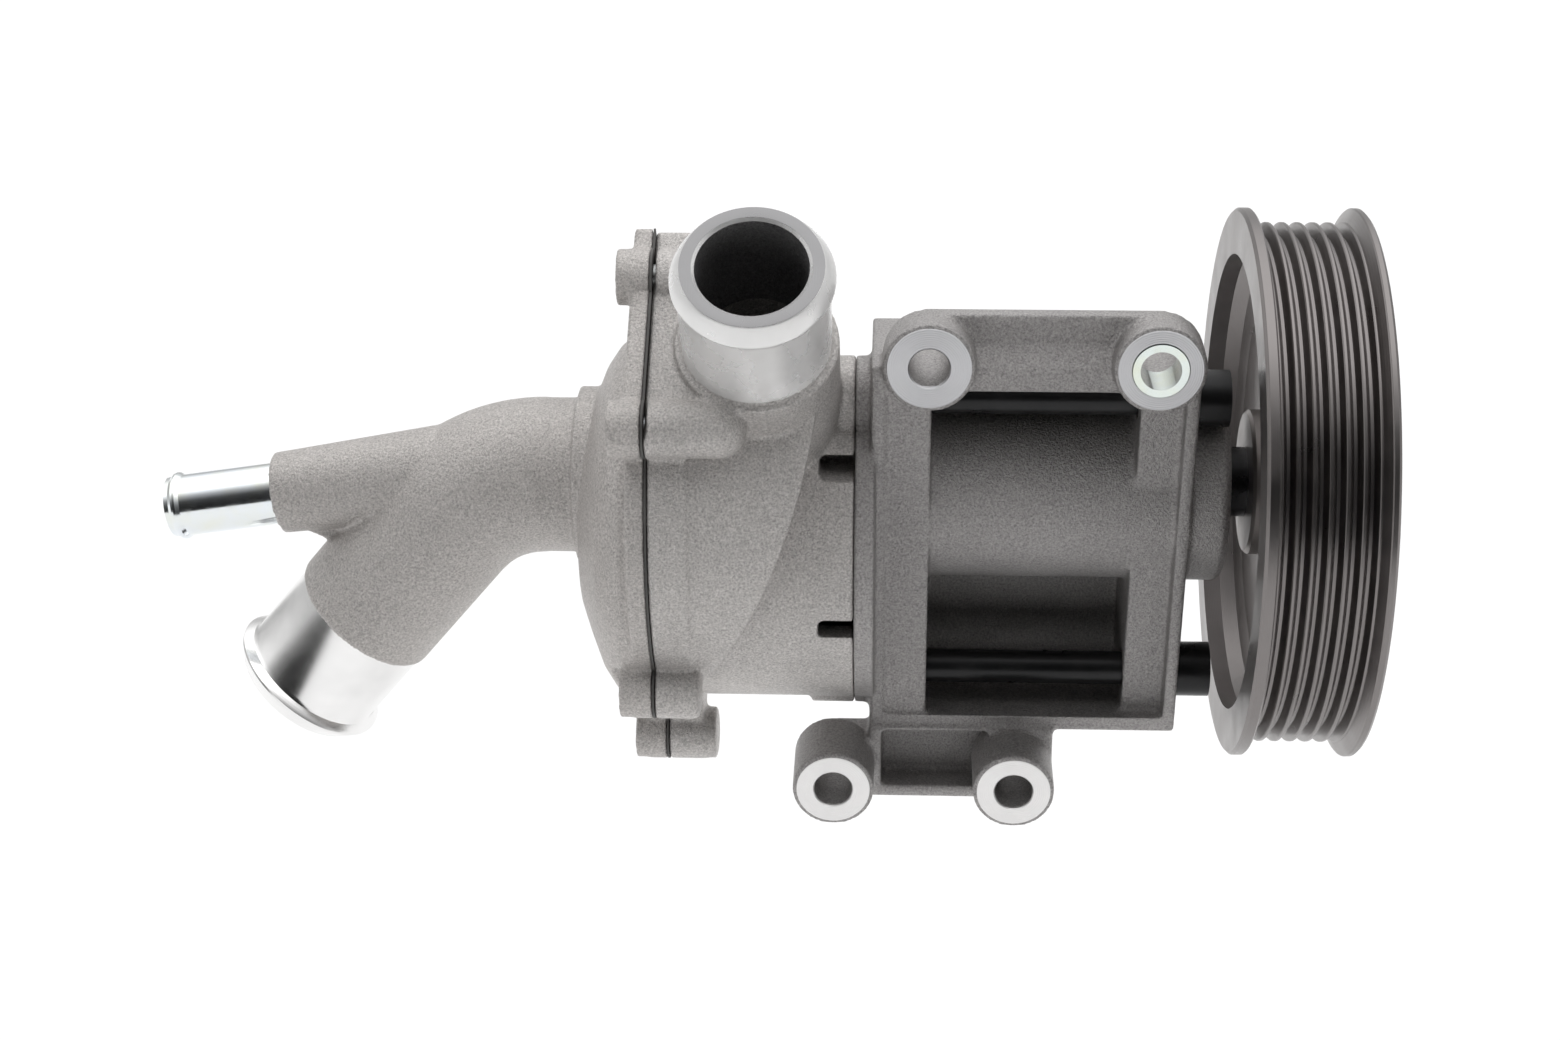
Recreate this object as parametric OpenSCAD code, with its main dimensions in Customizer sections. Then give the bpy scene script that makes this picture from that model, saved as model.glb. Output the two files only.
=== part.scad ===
/* [Pulley] */
// Outer diameter over the pulley's two flanges
pulley_d = 128; // [120:0.5:136]
// Pulley width along the shaft
pulley_w = 28.2; // [26:0.1:32]
// Diameter over the crests between the belt grooves
crest_d = 121.4; // [116:0.2:124]
// Number of belt grooves
groove_count = 6; // [4:1:6]
// Distance between neighbouring belt grooves
groove_pitch = 3.56; // [3.4:0.02:3.7]
// Depth of one belt groove
groove_depth = 2.6; // [2:0.1:3]
// Inner diameter of the rim on the pump side
rim_bore_d = 106.6; // [100:0.2:108]
// Diameter of the lightening holes in the web
web_hole_d = 10; // [6:0.5:14]
// Pitch circle of the lightening holes
web_hole_pcd = 56; // [52:0.5:64]

/* [Shaft and bearing] */
// Shaft diameter in the bearing
shaft_d = 16.4; // [15:0.1:17]
// Outer diameter of the bearing ring
bearing_d = 38; // [36:0.5:39]
// Length of the bearing ring
bearing_len = 56; // [50:1:58]
// Diameter of one ball
ball_d = 7.94; // [7.5:0.01:8]
// Number of balls
ball_count = 7; // [5:1:7]
// Diameter of one roller
roller_d = 5; // [4.6:0.1:5.2]
// Number of rollers
roller_count = 10; // [8:1:10]

/* [Bearing bracket] */
// Diameter of the bearing nose behind the pulley
nose_d = 46.4; // [44:0.2:50]
// Distance of the mounting faces in front of the shaft axis
mount_face_y = 32; // [30:0.5:34]
// Spacing of the two upper mounting holes
upper_spacing = 50.4; // [46:0.2:54]
// Height of the upper mounting holes above the shaft axis
upper_z = 40.9; // [39:0.1:43]
// Spacing of the two lower mounting holes
lower_spacing = 42.6; // [38:0.2:46]
// Depth of the lower mounting holes below the shaft axis
lower_z = 66.6; // [64:0.1:70]
// Diameter of the mounting holes
mount_hole_d = 9; // [8.4:0.1:9.5]

/* [Water passages] */
// Outer diameter of the outlet neck
outlet_od = 33; // [31:0.1:35]
// Bore of the outlet neck
outlet_bore = 24.4; // [23:0.1:28]
// Angle of the outlet neck from straight up, towards the engine side
outlet_tilt = 34.4; // [25:0.1:45]
// Outer diameter of the cast inlet elbow
elbow_od = 36.6; // [35:0.1:40]
// Outer diameter of the inlet neck
inlet_od = 35; // [33:0.1:35.6]
// Bore of the inlet neck
inlet_bore = 29; // [26:0.1:31]
// Angle of the inlet elbow below the shaft axis
elbow_angle = 50; // [40:1:60]
// Outer diameter of the heater return tube
heater_od = 14.8; // [13:0.1:16]
// Angle of the heater tube below the shaft axis
heater_angle = 8.7; // [5:0.1:12]

/* [Impeller] */
// Impeller diameter
impeller_d = 66; // [56:1:70]
// Number of impeller blades
blade_count = 7; // [5:1:9]

/* [Hidden] */
$fn = 96;

eps = 0.01;
// clearance of a running fit, measured on the radius
run_gap = 0.03;
wall = 3.8;

// places along the shaft, measured from the belt's middle plane
pulley_back = -pulley_w / 2;
nose_end = -16.1;
plate_out = -25.3;
plate_in = plate_out - 3;
pad_in = -38;
block_in = -84.6;
frame_in = -95;
frame_out = -98;
joint_x = -101.6;
seam_x = -147.1;
gasket_t = 0.5;
collar_x = -167;
elbow_x = -190;

// bearing bracket
barrel_r = 22.8;
box_back = 13;
box_wall = 4;
frame_top = 40;
rib_t = 6.1;
back_knee_z = 12;
back_lean = 0.41;
frame_bottom = -58;
frame_front_mid = -24.5;
frame_lean = 0.12;
upper_mid_x = -60.1;
lower_mid_x = -85;
upper_boss_r = 10.25;
arm_back_y = -21.6;
lower_boss_r = 9.6;
lower_back_y = -14;
sleeve_od = 12.3;
spigot_r = 21;
spigot_end = -128;
seal_bore_r = 15;
bearing_start = -76;
bracket_screw_r = 4;
bracket_screw_end = -108.6;
rear_screw = [27.5, -14.5];
bracket_screw_at = [[-13.2, 26.7], [-9.5, -45], rear_screw];

// pump housing
rear_r = 40.2;
rear_z = -13;
slot_z = [15, -20];
chamber_r = 38;
chamber_back = -131;
scroll_r = 49.6;
scroll_inner_r = 25;
scroll_mid_x = -129.5;
scroll_slant = 24;
scroll_turn = 30;
outlet_x = -123;
pad_dist = 55;
neck_len = 30;
neck_dir = [0, -sin(outlet_tilt), cos(outlet_tilt)];
flange_t = 9;
flange_r = 50.6;
boss_r = 6.5;
m6_r = 3;
cover_boss_t = 8;
boss_at = [[-45, 31.5], [-14, 55], [36, 40], [47, -16], [-38, -37], [-6, -66.5]];
boss_len = [16, 12, 10, 12, 10, 11.5];

// inlet cover: the bend's middle line, and where the casting and the neck end on the sloping leg
bend_r = 32;
bend_in = bend_r * tan(elbow_angle / 2);
casting_end = 48.6;
neck_end = 76.4;
spout_r = 21;
dome_y = -2;
dome_z = -10;
dome_inner_r = 36;
tube_start = -228;
tube_wall = 1.4;

// pulley hub
shaft_front = 0;
hub_front = -5;
hub_r = 17;
pilot_r = 10.6;
hub_screw_r = 2.5;
hub_screw_pcr = 13.6;

// shaft seal and impeller
seal_seat_x = -130.5;
neck_r = 6;
impeller_back = -132;

// bearing rows
shaft_r = shaft_d / 2;
ball_r = ball_d / 2;
race_in = shaft_r - 0.6;
ball_pitch = race_in + ball_r + run_gap;
race_out = ball_pitch + ball_r + run_gap;
ball_x = -62;
roller_r = roller_d / 2;
roller_pitch = shaft_r + roller_r + run_gap;
roller_out = roller_pitch + roller_r + run_gap;
roller_x = -34;
roller_len = 11;

function frame_front(z) = frame_front_mid - frame_lean * z;

// ---- helpers: solids laid along the shaft ----

// extrudes an outline drawn in Y and Z from x0 to x1
module yz(x0, x1) {
    translate([x0, 0, 0]) rotate([90, 0, 90]) linear_extrude(x1 - x0) children();
}

// turns a profile of [radius, x] points about the shaft axis
module turned(points) {
    rotate([0, 90, 0]) rotate_extrude() polygon(points);
}

// round bar along the shaft direction
module bar(x0, x1, r, y = 0, z = 0) {
    translate([x0, y, z]) rotate([0, 90, 0]) cylinder(h = x1 - x0, r = r);
}

module ring(x0, x1, r_in, r_out) {
    difference() {
        bar(x0, x1, r_out);
        bar(x0 - 1, x1 + 1, r_in);
    }
}

// round bar pointing at the engine, from y0 to y1
module peg(x, z, y0, y1, r) {
    translate([x, y1, z]) rotate([90, 0, 0]) cylinder(h = y1 - y0, r = r);
}

module around(count, radius, start = 0) {
    for (i = [0:count - 1]) rotate([start + i * 360 / count, 0, 0]) translate([0, 0, radius]) children();
}

// hose neck along +Z with its bead at the far end
module hose_neck(r, length, bead, tip) {
    rotate_extrude() polygon([[0, -4], [r, -4], [r, length - 7], [r + 0.2, length - 6], [r + bead, length - 4.6],
        [r + bead, length - 4], [r - tip, length], [0, length]]);
}

// closed skin through a list of rings that all have the same number of points
module skin(rings) {
    n = len(rings[0]);
    m = len(rings);
    points = [for (r = rings) for (p = r) p];
    sides = [for (j = [0:m - 2]) for (i = [0:n - 1]) for (k = [0, 1])
        k == 0 ? [j * n + i, j * n + (i + 1) % n, (j + 1) * n + i]
               : [j * n + (i + 1) % n, (j + 1) * n + (i + 1) % n, (j + 1) * n + i]];
    caps = [[for (i = [0:n - 1]) n - 1 - i], [for (i = [0:n - 1]) (m - 1) * n + i]];
    polyhedron(points, concat(sides, caps));
}

// ---- pump housing ----

module boss_outline() {
    for (p = boss_at) translate(p) circle(boss_r);
}

module flange_outline() {
    circle(flange_r);
    boss_outline();
    for (p = boss_at) polygon([p * 1.04, [-p[1], p[0]] * 0.6, [0, 0], [p[1], -p[0]] * 0.6]);
    pad_outline();
}

// the flat face round the outlet neck lies square to the neck
module pad_outline() {
    rotate(90 + outlet_tilt) translate([0, -31]) square([pad_dist + 1, 48.5]);
}

// scroll: a drum whose rounded rear end is cut aslant, so that it grows towards the outlet
module scroll(shrink) {
    r = 62 - shrink;
    soft = 14 - shrink;
    intersection() {
        bar(seam_x + 1, -100, scroll_r - shrink);
        translate([scroll_mid_x - shrink, 0, 0]) rotate([scroll_turn, 0, 0]) rotate([0, scroll_slant, 0])
            turned(concat([[0, -90], [r, -90]],
                [for (a = [0:15:90]) [r - soft + soft * cos(a), -soft + soft * sin(a)]], [[0, 0]]));
    }
}

module at_outlet(d = pad_dist) {
    translate([outlet_x, neck_dir[1] * d, neck_dir[2] * d]) rotate([outlet_tilt, 0, 0]) children();
}

module housing_shell() {
    yz(seam_x + gasket_t / 2, seam_x + flange_t) flange_outline();
    bar(seam_x + 1, -135.6, 44);
    yz(seam_x + 1, outlet_x) pad_outline();
    bar(-137, joint_x, rear_r, 0, rear_z);
    for (p = bracket_screw_at) bar(-112, joint_x, 9, p[0], p[1]);
    scroll(0);
}

// threaded boss behind the flange; the outermost one ends in a ball
module cover_boss(i) {
    r = boss_r - 0.2;
    end = seam_x + boss_len[i];
    translate([0, boss_at[i][0], boss_at[i][1]]) turned(concat([[0, seam_x + 1], [r, seam_x + 1]],
        [for (a = [0:15:90]) [r * cos(a), end + boss_r * sin(a) * (i == 0 ? 1 : 0.12)]]));
}

module housing_outside() {
    intersection() {
        housing_shell();
        rotate([outlet_tilt, 0, 0]) translate([-200, -100, -150]) cube([120, 200, 150 + pad_dist]);
    }
    for (i = [0:len(boss_at) - 1]) cover_boss(i);
    at_outlet(20) cylinder(h = pad_dist - 20 + 2, r = outlet_od / 2 + 1.6);
    at_outlet() hose_neck(outlet_od / 2, neck_len, 1.2, 0.8);
}

module pump_housing() {
    color("silver") difference() {
        housing_outside();
        bar(seam_x - 1, chamber_back, chamber_r);
        difference() {
            scroll(wall);
            bar(-150, -90, scroll_inner_r);
        }
        at_outlet(34) cylinder(h = pad_dist + neck_len, r = outlet_bore / 2);
        bar(spigot_end - 8, joint_x + 1, spigot_r + run_gap);
        difference() {
            bar(-110, joint_x + 1, 34, 0, rear_z);
            bar(-111, joint_x + 2, spigot_r + 4);
            scroll(0);
            at_outlet(10) cylinder(h = 50, r = outlet_od / 2 + 1.6);
            for (p = bracket_screw_at) bar(-111, joint_x + 2, 8, p[0], p[1]);
        }
        // drain slots open at the joint
        for (z = slot_z) translate([joint_x - 8, -60, z - 2.2]) cube([9, 45, 4.4]);
        for (p = bracket_screw_at) bar(bracket_screw_end - 0.4, joint_x + 1, bracket_screw_r, p[0], p[1]);
        for (p = boss_at) bar(seam_x - 1, seam_x + 9.4, m6_r, p[0], p[1]);
    }
}

// ---- inlet cover ----

module at_elbow(d) {
    translate([elbow_x - cos(elbow_angle) * d, 0, -sin(elbow_angle) * d])
        rotate([0, -90 - elbow_angle, 0]) children();
}

// the bend is a hair thicker than the straight runs, which end inside it
module elbow_run(r, x_end, d_end) {
    lap = 1.5;
    bar(elbow_x + bend_in - lap, x_end, r);
    translate([elbow_x + bend_in, 0, -bend_r]) rotate([90, 0, 0]) rotate([0, 0, 90])
        rotate_extrude(angle = elbow_angle) translate([bend_r, 0]) circle(r + 0.12);
    at_elbow(bend_in - lap) cylinder(h = d_end - bend_in + lap, r = r);
}

// the heater boss meets the elbow close to its corner
module at_heater(x) {
    translate([x, 0, -5.65 - (-239.6 - x) * tan(heater_angle)]) rotate([0, -90 - heater_angle, 0]) children();
}

module cover_outside() {
    yz(seam_x - 4.6, seam_x - gasket_t / 2) flange_outline();
    translate([0, dome_y, dome_z]) turned([[0, -150], [44, -150], [43.4, -154], [41, -157], [36.5, -160], [29, -163],
        [22, -165.5], [0, -165.5]]);
    bar(collar_x, seam_x - 9, spout_r);
    for (p = boss_at) bar(seam_x - cover_boss_t, seam_x - 1, boss_r - 0.2, p[0], p[1]);
    elbow_run(elbow_od / 2, seam_x - 9, casting_end);
    at_elbow(casting_end) hose_neck(inlet_od / 2, neck_end - casting_end, 2.2, 0.6);
    at_heater(-200) cylinder(h = 40, r1 = 11.2, r2 = 9.7);
    translate([-236, -1.6, -14]) rotate([0, 25, 0]) cube([14, 3.2, 10]);
}

module inlet_cover() {
    color("silver") difference() {
        cover_outside();
        elbow_run(inlet_bore / 2, seam_x, neck_end + 2);
        translate([0, dome_y, dome_z]) difference() {
            bar(-157.5, seam_x + 1, dome_inner_r);
            translate([0, -dome_y, -dome_z]) bar(-158, -148.6, inlet_bore / 2 + 3.5);
        }
        at_heater(-188) cylinder(h = 60, r = heater_od / 2 - tube_wall);
        at_heater(tube_start + 0.4) cylinder(h = 20, r = heater_od / 2);
        for (p = boss_at) {
            bar(seam_x - 12, seam_x, m6_r + 0.3, p[0], p[1]);
            bar(seam_x - 12, seam_x - 3.4, 5.2, p[0], p[1]);
        }
    }
}

module cover_gasket() {
    color("dimgray") yz(seam_x - gasket_t / 2, seam_x + gasket_t / 2) difference() {
        flange_outline();
        circle(chamber_r);
        translate([dome_y, dome_z]) circle(dome_inner_r);
        for (p = boss_at) translate(p) circle(m6_r + 0.3);
    }
}

module socket_screw(r, length, head_r, head_h, key_r) {
    difference() {
        union() {
            translate([0, 0, -length]) cylinder(h = length + eps, r = r);
            cylinder(h = head_h, r = head_r);
        }
        translate([0, 0, head_h * 0.45]) cylinder(h = head_h, r = key_r, $fn = 6);
    }
}

module cover_screws() {
    color("gray") for (p = boss_at)
        translate([seam_x - 3.4, p[0], p[1]]) rotate([0, -90, 0]) socket_screw(m6_r, 12.4, 5, 4.4, 2.9);
}

module heater_tube() {
    bead_r = heater_od / 2 + 0.7;
    color("lightsteelblue") at_heater(tube_start) difference() {
        rotate_extrude() polygon([[0, 0], [heater_od / 2, 0], [heater_od / 2, 34.6], [bead_r - 0.1, 35.5],
            [bead_r, 36], [bead_r - 0.1, 36.5], [heater_od / 2, 37.3], [heater_od / 2 - 0.2, 38.4], [0, 38.4]]);
        translate([0, 0, -1]) cylinder(h = 50, r = heater_od / 2 - tube_wall);
    }
}

// ---- bearing bracket ----

// the back wall leans forward above its knee
function frame_back(z) = box_back - max(0, z - back_knee_z) * back_lean;

module frame_side(inset = 0, z_low = frame_bottom, z_high = frame_top) {
    knee = z_high > back_knee_z ? [[box_back, back_knee_z]] : [];
    polygon(concat([[frame_front(z_high) + inset, z_high], [frame_front(z_low) + inset, z_low],
        [box_back, z_low]], knee, [[frame_back(z_high), z_high]]));
}

module bracket_box() {
    difference() {
        yz(frame_out, plate_out) frame_side();
        yz(frame_in, plate_in) polygon([[-60, frame_top - rib_t], [-60, frame_bottom + 4],
            [box_back - box_wall, frame_bottom + 4], [box_back - box_wall, back_knee_z],
            [frame_back(frame_top - rib_t) - box_wall, frame_top - rib_t]]);
    }
    yz(frame_out + 1, block_in) frame_side(1, frame_bottom + 1, frame_top - 1);
    yz(pad_in, plate_out - 1) frame_side(4, frame_bottom + 1, -7.5);
    yz(pad_in, plate_out - 1) frame_side(4, 5.5, frame_top - 1);
    yz(joint_x, frame_out + 1) {
        translate([0, rear_z]) circle(rear_r);
        for (p = bracket_screw_at) translate(p) circle(9);
    }
    bar(joint_x, nose_end - 1, barrel_r);
    // the third screw runs in a tube behind the barrel
    bar(frame_out, plate_out, 8.8, rear_screw[0], rear_screw[1]);
    translate([frame_out, box_back - 2, rear_screw[1] - 2]) cube([plate_out - frame_out - 1, 14, 4]);
    turned([[0, plate_out], [nose_d / 2, plate_out], [nose_d / 2, nose_end - 1.6], [nose_d / 2 - 1.6, nose_end],
        [0, nose_end]]);
    bar(spigot_end, joint_x + 1, spigot_r);
}

function upper_x(i) = upper_mid_x + (i - 0.5) * upper_spacing;
function lower_x(i) = lower_mid_x + (i - 0.5) * lower_spacing;

// wall that ties the two upper bosses together
module upper_arm() {
    arm_t = 4;
    for (i = [0, 1]) peg(upper_x(i), upper_z, -mount_face_y, arm_back_y, upper_boss_r);
    translate([upper_x(0), arm_back_y - arm_t, upper_z - 4])
        cube([upper_spacing, arm_t, upper_boss_r + 4]);
    yz(upper_x(0), upper_x(1)) polygon([[frame_front(frame_top), frame_top - 0.6], [arm_back_y - arm_t, upper_z + 3.4],
        [arm_back_y, upper_z + 3.4], [arm_back_y, frame_top - 0.6]]);
}

module lower_arm() {
    low = -lower_z - lower_boss_r;
    right = lower_x(1) + lower_boss_r;
    for (i = [0, 1]) peg(lower_x(i), -lower_z, -mount_face_y, lower_back_y, lower_boss_r);
    difference() {
        translate([lower_x(0), -19, low]) cube([right - lower_x(0), 12.6, frame_bottom - low + 1]);
        translate([frame_out + 3, -20, low + 3])
            cube([right - frame_out - 6, 9.5, frame_bottom - low - 3]);
        translate([lower_x(0) - 20, -40, frame_bottom - 3.4]) cube([20 + frame_out - lower_x(0), 60, 10]);
    }
}

module bearing_bracket() {
    color("silver") difference() {
        union() {
            bracket_box();
            upper_arm();
            lower_arm();
        }
        peg(upper_x(0), upper_z, -40, 10, mount_hole_d / 2);
        peg(upper_x(1), upper_z, -40, 10, sleeve_od / 2);
        for (i = [0, 1]) peg(lower_x(i), -lower_z, -40, 10, mount_hole_d / 2);
        bar(bearing_start, nose_end + 1, bearing_d / 2);
        bar(joint_x - 11, bearing_start + 1, 12);
        bar(spigot_end - 1, -112, seal_bore_r);
        turned([[spigot_r - 2, -125.6], [spigot_r + 1, -125.6], [spigot_r + 1, -122.4], [spigot_r - 2, -122.4]]);
        for (p = bracket_screw_at) bar(joint_x - 1, plate_out + 1, bracket_screw_r + 0.3, p[0], p[1]);
        for (p = bracket_screw_at) bar(plate_out, plate_out + 5, 7.2, p[0], p[1]);
    }
}

module bracket_seal() {
    color("black") rotate([0, 90, 0]) translate([0, 0, -124]) rotate_extrude() translate([spigot_r - 0.95, 0])
        circle(0.95, $fn = 24);
}

module bracket_screws() {
    color([0.1, 0.1, 0.1]) for (p = bracket_screw_at)
        translate([plate_out, p[0], p[1]]) rotate([0, 90, 0])
            socket_screw(bracket_screw_r, plate_out - bracket_screw_end, 6.5, 8, 3.46);
}

module mount_sleeve() {
    color("lightsteelblue") difference() {
        peg(upper_x(1), upper_z, -mount_face_y - 0.3, arm_back_y, sleeve_od / 2);
        peg(upper_x(1), upper_z, -mount_face_y - 1, arm_back_y + 1, mount_hole_d / 2);
    }
}

// ---- bearing ----

module bearing_ring() {
    color("gainsboro") difference() {
        bar(bearing_start, bearing_start + bearing_len, bearing_d / 2);
        bar(bearing_start - 1, ball_x + 10, race_out - 0.7);
        bar(ball_x + 6, bearing_start + bearing_len + 1, roller_out);
        for (x = [bearing_start - 1, bearing_start + bearing_len - 3]) bar(x, x + 4, roller_out + 2.2);
        translate([ball_x, 0, 0]) rotate([0, 90, 0]) rotate_extrude() translate([ball_pitch, 0])
            circle(ball_r + run_gap);
    }
}

module bearing_seals() {
    color([0.12, 0.1, 0.1]) for (x = [bearing_start, bearing_start + bearing_len - 3])
        ring(x + 0.4, x + 2.6, shaft_r + 0.05, roller_out + 2.2);
}

module bearing_balls() {
    color("white") translate([ball_x, 0, 0]) around(ball_count, ball_pitch) sphere(ball_r);
}

module ball_cage() {
    color("tan") difference() {
        ring(ball_x - 5.5, ball_x + 5.5, shaft_r + 1.2, race_out - 2);
        translate([ball_x, 0, 0]) around(ball_count, shaft_r) cylinder(h = 12, r = ball_r + 0.1);
    }
}

module bearing_rollers() {
    color("white") around(roller_count, roller_pitch) bar(roller_x - roller_len / 2, roller_x + roller_len / 2,
        roller_r);
}

module roller_cage() {
    color("tan") difference() {
        ring(roller_x - 8, roller_x + 8, shaft_r + 1.2, roller_out - 1.2);
        around(roller_count, roller_pitch) bar(roller_x - roller_len / 2 - 0.2, roller_x + roller_len / 2 + 0.2,
            roller_r + 0.1);
    }
}

// ---- rotating group ----

module shaft() {
    color("lightgray") difference() {
        turned([[0, -144], [neck_r - 0.8, -144], [neck_r, -143.2], [neck_r, -96], [shaft_r, -92],
            [shaft_r, shaft_front - 0.8], [shaft_r - 0.8, shaft_front], [0, shaft_front]]);
        translate([ball_x, 0, 0]) rotate([0, 90, 0]) rotate_extrude() translate([ball_pitch, 0])
            circle(ball_r + run_gap);
    }
}

module pulley_hub() {
    color("gray") difference() {
        turned([[shaft_r, -10.6], [hub_r - 0.8, -10.6], [hub_r, -9.8], [hub_r, hub_front], [pilot_r, hub_front],
            [pilot_r, shaft_front], [shaft_r, shaft_front]]);
        around(4, hub_screw_pcr, 45) bar(-9.6, hub_front + 1, hub_screw_r);
    }
}

// one belt groove's outline as [radius, x] points, from its pump side to its front side
function groove(x) = let (top = crest_d / 2, low = top - groove_depth, foot = 0.35,
    edge = foot + groove_depth * tan(20))
    [[top, x - edge - 0.22], [top - 0.22, x - edge + 0.02], [low, x - foot], [low, x + foot],
        [top - 0.22, x + edge - 0.02], [top, x + edge + 0.22]];

module pulley() {
    r = pulley_d / 2;
    rim = rim_bore_d / 2;
    back = pulley_back;
    front = -pulley_back;
    grooves = [for (i = [0:groove_count - 1]) each groove((i - (groove_count - 1) / 2) * groove_pitch)];
    land = crest_d / 2 - 0.6;
    color([0.35, 0.35, 0.35]) difference() {
        turned(concat([[pilot_r, 0], [pilot_r, hub_front], [rim - 6, hub_front], [rim - 1.8, hub_front - 1.6],
            [rim, hub_front - 5], [rim, back], [r - 0.7, back], [r, back + 0.7], [r, back + 2.6],
            [r - 0.4, back + 3], [land + 0.6, back + 3.1]], grooves,
            [[crest_d / 2, front - 3.4], [r - 0.3, front - 1.9], [r, front - 1.6], [r, front - 0.6],
            [r - 0.6, front], [rim + 1, front], [rim, front - 1], [rim, 5], [rim - 1.8, 1.6], [rim - 6, 0]]));
        around(4, web_hole_pcd / 2, -45) bar(hub_front - 1, 1, web_hole_d / 2);
        around(4, hub_screw_pcr, 45) bar(hub_front - 1, 1, hub_screw_r + 0.15);
    }
}

module pulley_screws() {
    color("dimgray") around(4, hub_screw_pcr, 45) rotate([0, 90, 0]) socket_screw(hub_screw_r, 9, 4.1, 4.5, 2.3);
}

module slinger() {
    color("lightgray") turned([[neck_r, -106], [11, -106], [11.4, -105.2], [7.4, -104.6], [7.4, -101], [neck_r, -101]]);
}

module seal_seat() {
    color("white") ring(seal_seat_x, seal_seat_x + 4, neck_r, 11);
}

module impeller() {
    hub = 11;
    blade_h = 11;
    blade_t = 2.4;
    r = impeller_d / 2;
    curl_r = 21;
    color("darkslategray") {
        turned([[neck_r, impeller_back - 13], [hub - 3, impeller_back - 13], [hub, impeller_back - 8],
            [hub + 3, impeller_back - 2.4], [r, impeller_back - 2], [r, impeller_back],
            [hub, impeller_back], [hub - 2, impeller_back + 1.2], [neck_r, impeller_back + 1.2]]);
        intersection() {
            union() {
                around(blade_count, 14) translate([0, 12, 0])
                    ring(impeller_back - blade_h, impeller_back - 1, curl_r, curl_r + blade_t);
            }
            ring(impeller_back - blade_h, impeller_back - 1, hub - 2, r);
        }
    }
}

// ---- shaft seal ----

module seal_cup() {
    color("peru") difference() {
        turned([[9, -126.2], [12.6, -126.2], [12.6, -117.4], [14.2, -117.4], [14.2, -126.8], [seal_bore_r, -126.8],
            [seal_bore_r, -112.2], [9, -112.2]]);
        bar(-125.4, -113, 11.8);
        bar(-140, -100, 8.8);
    }
}

module seal_bellows() {
    color([0.1, 0.1, 0.1]) turned([[7.2, -125], [8.6, -125], [8.6, -114], [9.8, -114], [9.8, -113.1],
        [7.2, -113.1]]);
}

module seal_spring() {
    turns = 3;
    per_turn = 16;
    wire = 0.55;
    coil_r = 10.2;
    coil_x = -124.2;
    coil_len = 9.6;
    steps = turns * per_turn;
    color("silver") skin([for (j = [0:steps]) let (a = j * 360 / per_turn, x = coil_x + j * coil_len / steps)
        [for (i = [0:5]) let (t = i * 60, rho = coil_r + wire * cos(t))
            [x + wire * sin(t), rho * cos(a), rho * sin(a)]]]);
}

module carbon_ring() {
    color([0.15, 0.15, 0.17]) turned([[7, -126.45], [8.4, -126.45], [8.6, -125.2], [8.6, -125], [7, -125]]);
}

pump_housing();
inlet_cover();
cover_gasket();
cover_screws();
heater_tube();
bearing_bracket();
bracket_seal();
bracket_screws();
mount_sleeve();
bearing_ring();
bearing_seals();
seal_cup();
seal_bellows();
seal_spring();
carbon_ring();
shaft();
pulley_hub();
pulley();
pulley_screws();
seal_seat();
slinger();
impeller();
bearing_balls();
ball_cage();
bearing_rollers();
roller_cage();
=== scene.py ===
import math

import bmesh
import bpy
from mathutils import Matrix, Vector


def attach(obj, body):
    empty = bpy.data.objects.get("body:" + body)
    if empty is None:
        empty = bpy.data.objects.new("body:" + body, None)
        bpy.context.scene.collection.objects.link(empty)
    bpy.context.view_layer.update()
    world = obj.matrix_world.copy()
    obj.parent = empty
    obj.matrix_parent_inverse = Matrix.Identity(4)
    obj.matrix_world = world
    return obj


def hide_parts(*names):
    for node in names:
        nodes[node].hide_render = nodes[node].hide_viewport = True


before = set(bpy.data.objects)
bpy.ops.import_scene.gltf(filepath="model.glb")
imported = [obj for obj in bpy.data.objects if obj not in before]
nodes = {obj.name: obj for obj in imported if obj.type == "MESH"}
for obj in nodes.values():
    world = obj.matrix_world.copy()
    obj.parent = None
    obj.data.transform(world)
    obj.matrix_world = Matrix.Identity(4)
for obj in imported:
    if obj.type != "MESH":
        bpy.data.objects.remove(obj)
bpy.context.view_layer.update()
MM = 0.001

# ---- places that follow from the design, in millimetres ----
OUTLET_X, OUTLET_TILT, PAD_DIST, OUTLET_LEN = -123.0, math.radians(34.4), 55.0, 30.0
ELBOW_X, ELBOW_ANGLE, CASTING_END, NECK_END = -190.0, math.radians(50), 48.6, 76.4
OUTLET_R, OUTLET_BORE_R, INLET_R, INLET_BORE_R = 16.5, 12.2, 17.5, 14.5
FACE_Y = -32.0
UPPER_X, LOWER_X, UPPER_Z, LOWER_Z = (-85.3, -34.9), (-106.3, -63.7), 40.9, -66.6
UPPER_BOSS_R, LOWER_BOSS_R, BOLT_R, SLEEVE_R = 9.6, 8.9, 4.5, 6.15
CASTING_VOXEL = 0.0006
BRIGHT = (0.93, 0.925, 0.92)


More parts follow.
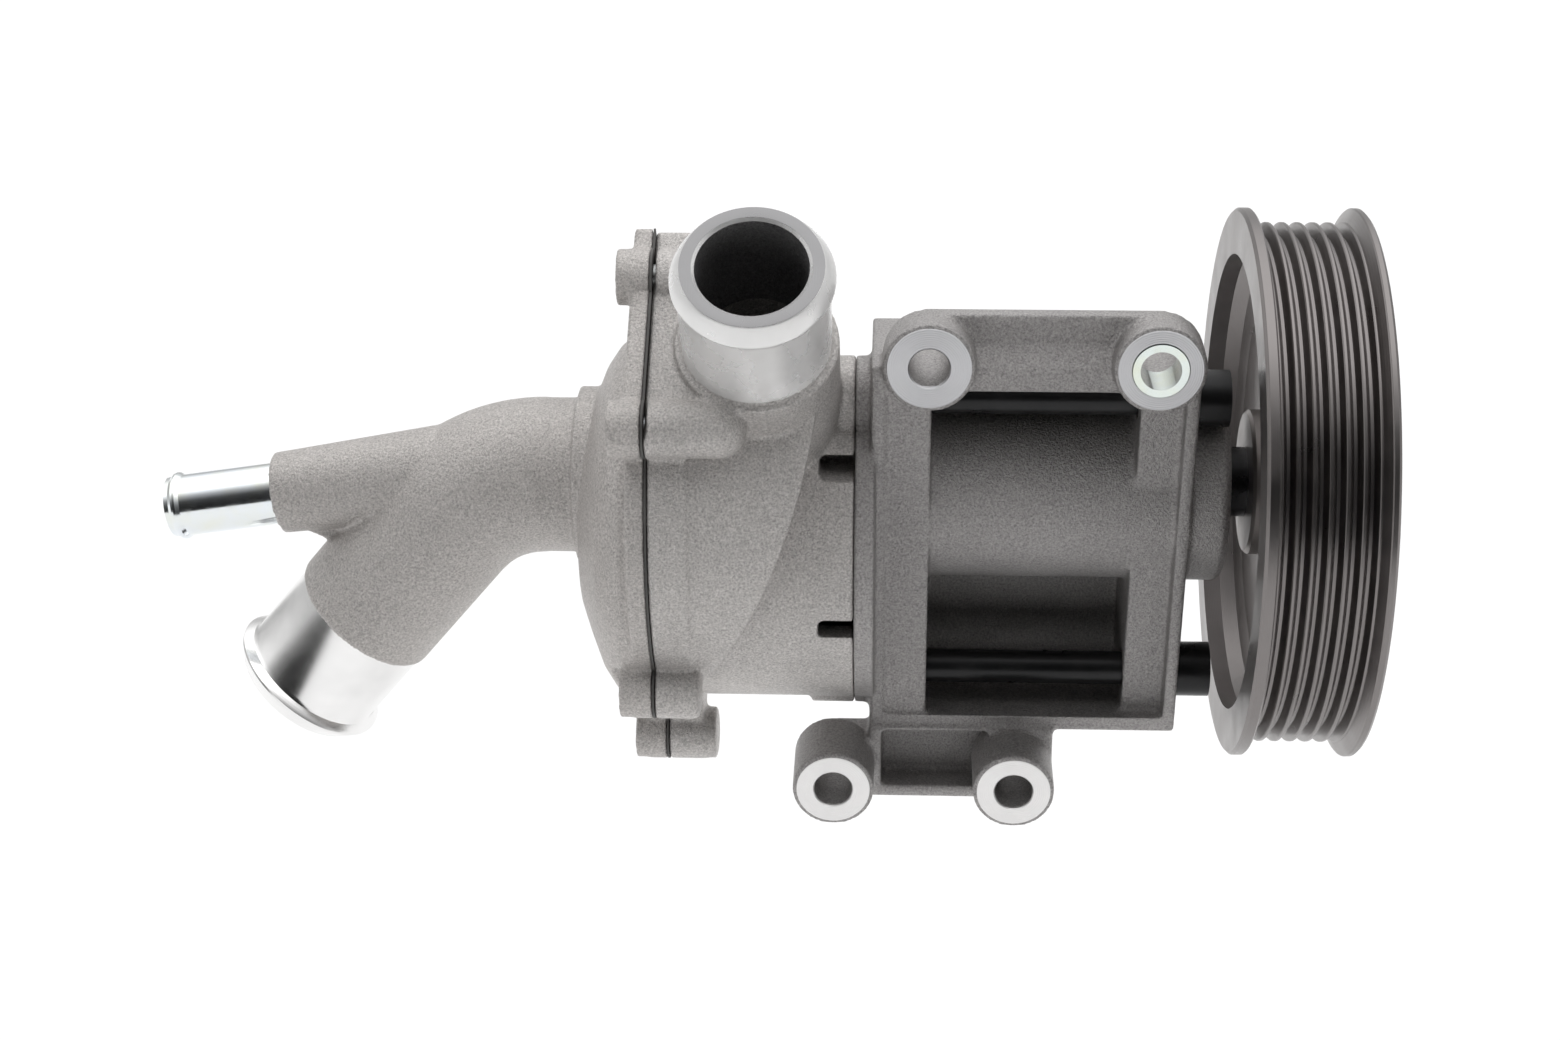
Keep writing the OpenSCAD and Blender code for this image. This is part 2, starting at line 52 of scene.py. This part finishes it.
# ---- camera, floor and light ----
def make_camera():
    azimuth, elevation, roll = math.radians(2.7), math.radians(25.5), math.radians(0.5)
    distance = 0.620
    target = Vector((-0.1196, -0.0044, -0.0093))
    back = Vector((math.sin(azimuth) * math.cos(elevation), -math.cos(azimuth) * math.cos(elevation),
                   math.sin(elevation)))
    data = bpy.data.cameras.new("camera")
    data.lens, data.sensor_width = 60.4, 36
    camera = bpy.data.objects.new("camera", data)
    bpy.context.scene.collection.objects.link(camera)
    camera.rotation_mode = "QUATERNION"
    turn = Matrix.Rotation(-roll, 4, back)
    look = (-back).to_track_quat("-Z", "Y").to_matrix().to_4x4()
    camera.rotation_quaternion = (turn @ look).to_quaternion()
    camera.location = target + back * distance
    bpy.context.scene.camera = camera


def make_world():
    """A white tent: bright above and behind, dim round the horizon, dark where the camera looks in."""
    world = bpy.data.worlds.new("studio")
    bpy.context.scene.world = world
    world.use_nodes = True
    nt = world.node_tree
    nt.nodes.clear()
    out = nt.nodes.new("ShaderNodeOutputWorld")
    light = nt.nodes.new("ShaderNodeBackground")
    coord = nt.nodes.new("ShaderNodeTexCoord")
    split = nt.nodes.new("ShaderNodeSeparateXYZ")
    nt.links.new(coord.outputs["Generated"], split.inputs[0])

    def levels(axis, stops):
        remap = nt.nodes.new("ShaderNodeMapRange")
        remap.inputs["From Min"].default_value, remap.inputs["From Max"].default_value = -1.0, 1.0
        nt.links.new(split.outputs[axis], remap.inputs["Value"])
        node = nt.nodes.new("ShaderNodeValToRGB")
        node.color_ramp.elements[0].position = stops[0][0]
        node.color_ramp.elements[1].position = stops[-1][0]
        for place, _ in stops[1:-1]:
            node.color_ramp.elements.new(place)
        for element, (_, level) in zip(node.color_ramp.elements, stops):
            element.color = (level, level, level, 1)
        nt.links.new(remap.outputs["Result"], node.inputs["Fac"])
        return node.outputs["Color"]

    height = levels("Z", ((0.0, 0.5), (0.44, 0.38), (0.56, 0.25), (0.68, 0.4), (0.85, 0.85), (1.0, 1.0)))
    depth = levels("Y", ((0.0, 0.03), (0.12, 0.06), (0.24, 0.3), (0.38, 0.9), (1.0, 1.0)))
    mix = nt.nodes.new("ShaderNodeMix")
    mix.data_type, mix.blend_type = "RGBA", "MULTIPLY"
    mix.inputs["Factor"].default_value = 1.0
    nt.links.new(height, mix.inputs["A"])
    nt.links.new(depth, mix.inputs["B"])
    nt.links.new(mix.outputs["Result"], light.inputs["Color"])
    light.inputs["Strength"].default_value = 1.95
    nt.links.new(light.outputs[0], out.inputs["Surface"])


def make_floor():
    data = bpy.data.meshes.new("floor")
    half, z = 3.0, -0.30
    corners = [(-half, -half, z), (half, -half, z), (half, half, z), (-half, half, z)]
    data.from_pydata(corners, [], [(0, 1, 2, 3)])
    floor = bpy.data.objects.new("floor", data)
    bpy.context.scene.collection.objects.link(floor)
    material, nt, shader = new_material("pale_floor")
    shader.inputs["Base Color"].default_value = (0.95, 0.95, 0.95, 1)
    shader.inputs["Roughness"].default_value = 1.0
    data.materials.append(material)


# ---- materials ----
def new_material(name):
    material = bpy.data.materials.new(name)
    material.use_nodes = True
    nt = material.node_tree
    return material, nt, nt.nodes["Principled BSDF"]


def noise(nt, scale, detail=3.0, roughness=0.55):
    """Noise in the object's own space; scale is features per metre."""
    coord = nt.nodes.new("ShaderNodeTexCoord")
    tex = nt.nodes.new("ShaderNodeTexNoise")
    tex.inputs["Scale"].default_value = scale
    tex.inputs["Detail"].default_value = detail
    tex.inputs["Roughness"].default_value = roughness
    nt.links.new(coord.outputs["Object"], tex.inputs["Vector"])
    return tex.outputs["Fac"]


def ramp(nt, value, low, high, start=0.3, end=0.7):
    node = nt.nodes.new("ShaderNodeValToRGB")
    node.color_ramp.elements[0].position, node.color_ramp.elements[1].position = start, end
    node.color_ramp.elements[0].color = (*low, 1)
    node.color_ramp.elements[1].color = (*high, 1)
    nt.links.new(value, node.inputs["Fac"])
    return node.outputs["Color"]


def spread(nt, value, low, high):
    node = nt.nodes.new("ShaderNodeMapRange")
    node.inputs["From Min"].default_value, node.inputs["From Max"].default_value = 0.3, 0.7
    node.inputs["To Min"].default_value, node.inputs["To Max"].default_value = low, high
    nt.links.new(value, node.inputs["Value"])
    return node.outputs["Result"]


def bump(nt, shader, height, distance, strength=1.0):
    node = nt.nodes.new("ShaderNodeBump")
    node.inputs["Distance"].default_value = distance
    node.inputs["Strength"].default_value = strength
    nt.links.new(height, node.inputs["Height"])
    if shader.inputs["Normal"].is_linked:
        nt.links.new(shader.inputs["Normal"].links[0].from_socket, node.inputs["Normal"])
    nt.links.new(node.outputs["Normal"], shader.inputs["Normal"])


def turning_marks(nt, axis, pitch, tilt):
    """Fine rings of a lathe cut across an axis; the tilt lays the piece's own axis on it."""
    coord = nt.nodes.new("ShaderNodeTexCoord")
    lay = nt.nodes.new("ShaderNodeMapping")
    lay.inputs["Rotation"].default_value = tilt
    nt.links.new(coord.outputs["Object"], lay.inputs["Vector"])
    wave = nt.nodes.new("ShaderNodeTexWave")
    wave.wave_type = "BANDS"
    wave.bands_direction = axis
    wave.inputs["Scale"].default_value = 0.314 / pitch
    wave.inputs["Distortion"].default_value = 0.12
    wave.inputs["Detail"].default_value = 2.0
    wave.inputs["Detail Scale"].default_value = 1.5
    nt.links.new(lay.outputs["Vector"], wave.inputs["Vector"])
    return wave.outputs["Fac"]


def round_marks(nt, axis, pitch):
    """Fine concentric rings round the given axis, as a facing cut leaves."""
    coord = nt.nodes.new("ShaderNodeTexCoord")
    wave = nt.nodes.new("ShaderNodeTexWave")
    wave.wave_type = "RINGS"
    wave.rings_direction = axis
    wave.inputs["Scale"].default_value = 0.314 / pitch
    wave.inputs["Distortion"].default_value = 0.6
    nt.links.new(coord.outputs["Object"], wave.inputs["Vector"])
    return wave.outputs["Fac"]


def cast_aluminium(name, low, high):
    material, nt, shader = new_material(name)
    shader.inputs["Metallic"].default_value = 0.9
    blotch = noise(nt, 60, 4)
    grit = noise(nt, 1900, 3, 0.75)
    mix = nt.nodes.new("ShaderNodeMix")
    mix.data_type = "RGBA"
    mix.inputs["Factor"].default_value = 0.6
    nt.links.new(ramp(nt, blotch, low, high), mix.inputs["A"])
    deep, fair = tuple(c * 0.4 for c in low), tuple(min(1, c * 1.45) for c in high)
    nt.links.new(ramp(nt, grit, deep, fair), mix.inputs["B"])
    nt.links.new(mix.outputs["Result"], shader.inputs["Base Color"])
    nt.links.new(spread(nt, blotch, 0.40, 0.52), shader.inputs["Roughness"])
    bump(nt, shader, grit, 0.0004, 1.0)
    bump(nt, shader, noise(nt, 160, 4), 0.0005, 0.3)
    return material


def machined(name, colour, rough, axis="Z", pitch=0.00022, rings=False, depth=0.000012, tilt=(0, 0, 0),
             metallic=1.0):
    material, nt, shader = new_material(name)
    shader.inputs["Metallic"].default_value = metallic
    marks = round_marks(nt, axis, pitch) if rings else turning_marks(nt, axis, pitch, tilt)
    haze = noise(nt, 90, 3)
    nt.links.new(ramp(nt, haze, tuple(c * 0.88 for c in colour), colour), shader.inputs["Base Color"])
    nt.links.new(spread(nt, haze, rough * 0.85, rough * 1.2), shader.inputs["Roughness"])
    bump(nt, shader, marks, depth, 0.8)
    return material


def plated(name, colour, rough):
    material, nt, shader = new_material(name)
    shader.inputs["Metallic"].default_value = 1.0
    tint = noise(nt, 130, 3)
    warm = (colour[0] * 1.0, colour[1] * 0.97, colour[2] * 0.84)
    nt.links.new(ramp(nt, tint, warm, colour, 0.25, 0.6), shader.inputs["Base Color"])
    nt.links.new(spread(nt, noise(nt, 420, 4), rough * 0.7, rough * 1.5), shader.inputs["Roughness"])
    bump(nt, shader, noise(nt, 260, 3), 0.00004, 0.35)
    return material


def coated(name, low, high, rough, metallic=0.0, depth=0.00003):
    material, nt, shader = new_material(name)
    shader.inputs["Metallic"].default_value = metallic
    cloud = noise(nt, 110, 4)
    nt.links.new(ramp(nt, cloud, low, high), shader.inputs["Base Color"])
    nt.links.new(spread(nt, cloud, rough * 0.8, rough * 1.25), shader.inputs["Roughness"])
    bump(nt, shader, noise(nt, 1500, 3), depth, 0.7)
    return material


def brushed(name, colour, rough):
    return machined(name, colour, rough, "X", 0.0003, depth=0.00002)


def paint_nodes():
    cast = cast_aluminium("cast_housing", (0.46, 0.443, 0.433), (0.60, 0.578, 0.562))
    cover = cast_aluminium("cast_cover", (0.44, 0.42, 0.407), (0.575, 0.55, 0.533))
    bracket = cast_aluminium("cast_bracket", (0.34, 0.328, 0.325), (0.44, 0.425, 0.42))
    black = coated("black_oxide", (0.008, 0.008, 0.009), (0.02, 0.02, 0.021), 0.32, 0.5)
    gasket = coated("gasket_edge", (0.05, 0.048, 0.046), (0.12, 0.116, 0.112), 0.6)
    rubber = coated("black_rubber", (0.012, 0.012, 0.012), (0.028, 0.027, 0.026), 0.7)
    zinc = plated("zinc_plate", (0.80, 0.84, 0.88), 0.13)
    steel = brushed("ground_steel", (0.56, 0.56, 0.57), 0.24)
    looks = {
        "pump_housing": cast,
        "inlet_cover": cover,
        "bearing_bracket": bracket,
        "cover_gasket": gasket,
        "bracket_seal": rubber,
        "bearing_seals": rubber,
        "seal_bellows": rubber,
        "bracket_screws": black,
        "cover_screws": plated("zinc_screw", (0.62, 0.64, 0.66), 0.28),
        "pulley_screws": plated("hub_screw", (0.58, 0.60, 0.62), 0.3),
        "heater_tube": zinc,
        "mount_sleeve": plated("zinc_sleeve", (0.74, 0.80, 0.78), 0.16),
        "bearing_ring": steel,
        # The shaft's near-black colour is painted shade: steel darkened to stand in for the dark it
        # reflects between bracket and pulley.
        "shaft": coated("shaft_steel_painted_shade", (0.03, 0.03, 0.032), (0.07, 0.07, 0.072), 0.3, 0.8),
        "slinger": brushed("pressed_steel", (0.5, 0.5, 0.5), 0.35),
        "pulley_hub": brushed("hub_steel", (0.34, 0.315, 0.305), 0.38),
        "pulley": machined("pulley_steel", (0.24, 0.224, 0.22), 0.32, "X", 0.0004, depth=0.000012),
        "seal_cup": brushed("drawn_brass", (0.66, 0.47, 0.22), 0.28),
        "seal_spring": brushed("spring_wire", (0.55, 0.55, 0.56), 0.25),
        "carbon_ring": coated("carbon", (0.02, 0.02, 0.022), (0.05, 0.05, 0.052), 0.35),
        "seal_seat": coated("ceramic", (0.74, 0.72, 0.68), (0.84, 0.83, 0.8), 0.2, depth=0.00001),
        "impeller": coated("glass_filled", (0.02, 0.023, 0.024), (0.05, 0.055, 0.056), 0.5, depth=0.00006),
        "bearing_balls": plated("ball_steel", (0.74, 0.74, 0.76), 0.06),
        "bearing_rollers": plated("roller_steel", (0.72, 0.72, 0.74), 0.1),
        "ball_cage": coated("cage_ball", (0.42, 0.30, 0.16), (0.55, 0.42, 0.25), 0.45),
        "roller_cage": coated("cage_roller", (0.42, 0.30, 0.16), (0.55, 0.42, 0.25), 0.45),
    }
    for name, material in looks.items():
        node = nodes[name]
        node.data.materials.clear()
        node.data.materials.append(material)
    return looks


# ---- soft cast shapes, and the machined faces on them ----
def link(name, mesh, material, replaced=(), place=Matrix()):
    """Puts a finished mesh in the scene as a piece of the pump body."""
    obj = bpy.data.objects.new(name, mesh)
    bpy.context.scene.collection.objects.link(obj)
    obj.matrix_world = place
    obj.data.materials.clear()
    obj.data.materials.append(material)
    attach(obj, "pump_body")
    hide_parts(*replaced)


def cast_copy(node_name, rounds):
    """The node's shape with its edges rounded off as a sand or die casting has them."""
    mesh = nodes[node_name].data.copy()
    obj = bpy.data.objects.new(node_name + "_raw", mesh)
    bpy.context.scene.collection.objects.link(obj)
    remesh = obj.modifiers.new("remesh", "REMESH")
    remesh.mode, remesh.voxel_size, remesh.adaptivity = "VOXEL", CASTING_VOXEL, 0.0
    smooth = obj.modifiers.new("smooth", "SMOOTH")
    smooth.factor, smooth.iterations = 0.5, rounds
    bpy.context.view_layer.update()
    baked = bpy.data.meshes.new_from_object(obj.evaluated_get(bpy.context.evaluated_depsgraph_get()))
    bpy.data.objects.remove(obj)
    bpy.data.meshes.remove(mesh)
    baked.polygons.foreach_set("use_smooth", [True] * len(baked.polygons))
    return baked


def lathe(name, profile, steps=160):
    """Turns a closed profile of (radius, height) in millimetres about local Z."""
    bm = bmesh.new()
    rings = []
    for i in range(steps):
        turn = 2 * math.pi * i / steps
        c, s = math.cos(turn) * MM, math.sin(turn) * MM
        rings.append([bm.verts.new((r * c, r * s, h * MM)) for r, h in profile])
    for i in range(steps):
        a, b = rings[i], rings[(i + 1) % steps]
        for j in range(len(profile)):
            k = (j + 1) % len(profile)
            bm.faces.new((a[j], b[j], b[k], a[k]))
    bmesh.ops.recalc_face_normals(bm, faces=bm.faces)
    mesh = bpy.data.meshes.new(name)
    bm.to_mesh(mesh)
    bm.free()
    mesh.polygons.foreach_set("use_smooth", [True] * len(mesh.polygons))
    mesh.set_sharp_from_angle(angle=math.radians(28))
    return mesh


def outlet_matrix(distance):
    along = Vector((0, -math.sin(OUTLET_TILT), math.cos(OUTLET_TILT)))
    return Matrix.Translation((OUTLET_X * MM, along.y * distance * MM, along.z * distance * MM)) \
        @ Matrix.Rotation(OUTLET_TILT, 4, "X")


def elbow_matrix(distance):
    """Local Z runs down the elbow's sloping leg."""
    c, s = math.cos(ELBOW_ANGLE), math.sin(ELBOW_ANGLE)
    return Matrix.Translation(((ELBOW_X - c * distance) * MM, 0, -s * distance * MM)) \
        @ Matrix.Rotation(-math.radians(90) - ELBOW_ANGLE, 4, "Y")


def thin_neck(mesh, matrix, middle_r, reach, foot, end):
    """Slims the casting inside a machined neck, so that only the neck shows."""
    back = matrix.inverted()
    for v in mesh.vertices:
        p = back @ v.co
        r = math.hypot(p.x, p.y)
        if p.z > foot * MM and r < reach * MM:
            k = (middle_r * MM + (r - middle_r * MM) * 0.7) / max(r, 1e-6)
            v.co = matrix @ Vector((p.x * k, p.y * k, min(p.z, (end - 0.7) * MM)))


def neck_profile(outer, inner, length, bead, tip, foot):
    return [(inner, foot), (outer, foot), (outer, length - 7), (outer + bead * 0.2, length - 6),
            (outer + bead * 0.8, length - 5), (outer + bead, length - 4.5), (outer + bead, length - 4.0),
            (outer + bead * 0.9, length - 3.7), (outer - tip, length - 0.35), (outer - tip - 0.35, length),
            (inner + 0.6, length), (inner, length - 0.6)]


def mouth_profile(outer, inner, length, tip):
    """The cut end of a neck, as a thin skin over its mouth, painted dark grey as painted shade for the dark
    reflection on its end face.
    """
    outside, inside, top = outer - tip - 0.3, inner + 0.6, length + 0.04
    return [(inside, length - 0.3), (outside, length - 0.3), (outside, top - 0.02), (outside - 0.1, top),
            (inside + 0.1, top), (inside, top - 0.02)]


def lining_profile(inner, length):
    """A skin inside a neck's bore, for its raw cast wall, painted darker than the casting outside as
    painted shade for the inside of the bore.
    """
    skin = inner - 0.06
    return [(inner, 1.0), (inner, length - 0.6), (skin, length - 0.6), (skin, 1.0)]


def link_turned(name, profile, matrix, material):
    mesh = lathe(name, profile)
    mesh.transform(matrix)
    link(name, mesh, material)


def build_castings():
    outlet, elbow, inlet_len = outlet_matrix(PAD_DIST), elbow_matrix(CASTING_END), NECK_END - CASTING_END

    housing = cast_copy("pump_housing", 3)
    thin_neck(housing, outlet, 14.4, 20, 3.0, OUTLET_LEN)
    link("housing_casting", housing, looks["pump_housing"], ("pump_housing",))
    turned = machined("turned_outlet", BRIGHT, 0.26, "Z", 0.0004, depth=0.000002, tilt=(-OUTLET_TILT, 0, 0),
                      metallic=0.5)
    # Painted shade: a darker copy of the housing's cast aluminium, for the shade inside the outlet bore.
    raw = cast_aluminium("bore_painted_shade", (0.24, 0.236, 0.24), (0.34, 0.335, 0.34))
    for name, profile, material in (
            ("outlet_neck", neck_profile(OUTLET_R, OUTLET_BORE_R, OUTLET_LEN, 1.2, 0.8, 1.0), turned),
            # The mouth skin is painted shade for the dark reflection on the end face.
            ("outlet_mouth", mouth_profile(OUTLET_R, OUTLET_BORE_R, OUTLET_LEN, 0.8), cut),
            # The lining is painted shade inside the bore.
            ("outlet_lining", lining_profile(OUTLET_BORE_R, OUTLET_LEN), raw)):
        link_turned(name, profile, outlet, material)

    cover = cast_copy("inlet_cover", 3)
    thin_neck(cover, elbow, 16.1, 19.4, 0.6, inlet_len)
    link("cover_casting", cover, looks["inlet_cover"], ("inlet_cover",))
    lay = (0, math.radians(90) + ELBOW_ANGLE, 0)
    turned = machined("turned_inlet", BRIGHT, 0.2, "Z", 0.0004, depth=0.000002, tilt=lay)
    profile = neck_profile(INLET_R, INLET_BORE_R, inlet_len, 2.2, 0.6, -0.2)
    link_turned("inlet_neck", profile, elbow, turned)

    bracket = cast_copy("bearing_bracket", 5)
    link("bracket_casting", bracket, looks["bearing_bracket"], ("bearing_bracket",))
    # The upper row's faces use the darker copy of the faced finish, which is painted shade.
    rows = (("upper", UPPER_X, UPPER_Z, UPPER_BOSS_R, (BOLT_R, SLEEVE_R), faced_painted_shade),
            ("lower", LOWER_X, LOWER_Z, LOWER_BOSS_R, (BOLT_R, BOLT_R), faced))
    for tag, places, z, outer, inner, finish in rows:
        for i, x in enumerate(places):
            profile = [(inner[i] + 0.25, 0.03), (outer - 0.3, 0.03), (outer, -0.25), (outer - 0.4, -1.0),
                       (inner[i], -1.0), (inner[i], -0.22)]
            face = lathe(f"{tag}_face_{i}", profile, 96)
            spot = Matrix.Translation((x * MM, FACE_Y * MM, z * MM))
            place = spot @ Matrix.Rotation(math.radians(90), 4, "X")
            link(face.name, face, finish, place=place)


looks = paint_nodes()
faced = machined("faced_aluminium", (0.84, 0.83, 0.825), 0.36, "Z", 0.0005, rings=True, depth=0.00003)
# The upper boss faces get a darker copy of the same faced finish: painted shade.
faced_painted_shade = machined("faced_painted_shade", (0.56, 0.56, 0.575), 0.34, "Z", 0.0005, rings=True, depth=0.00003)
# cut_end_painted_shade is painted shade: dark grey machined metal standing in for the dark reflection on
# the outlet's end face.
cut = machined("cut_end_painted_shade", (0.26, 0.258, 0.262), 0.3, "X", 0.0006, depth=0.00001)
build_castings()
make_camera()
make_world()
make_floor()
bpy.context.scene.view_settings.view_transform = "Standard"
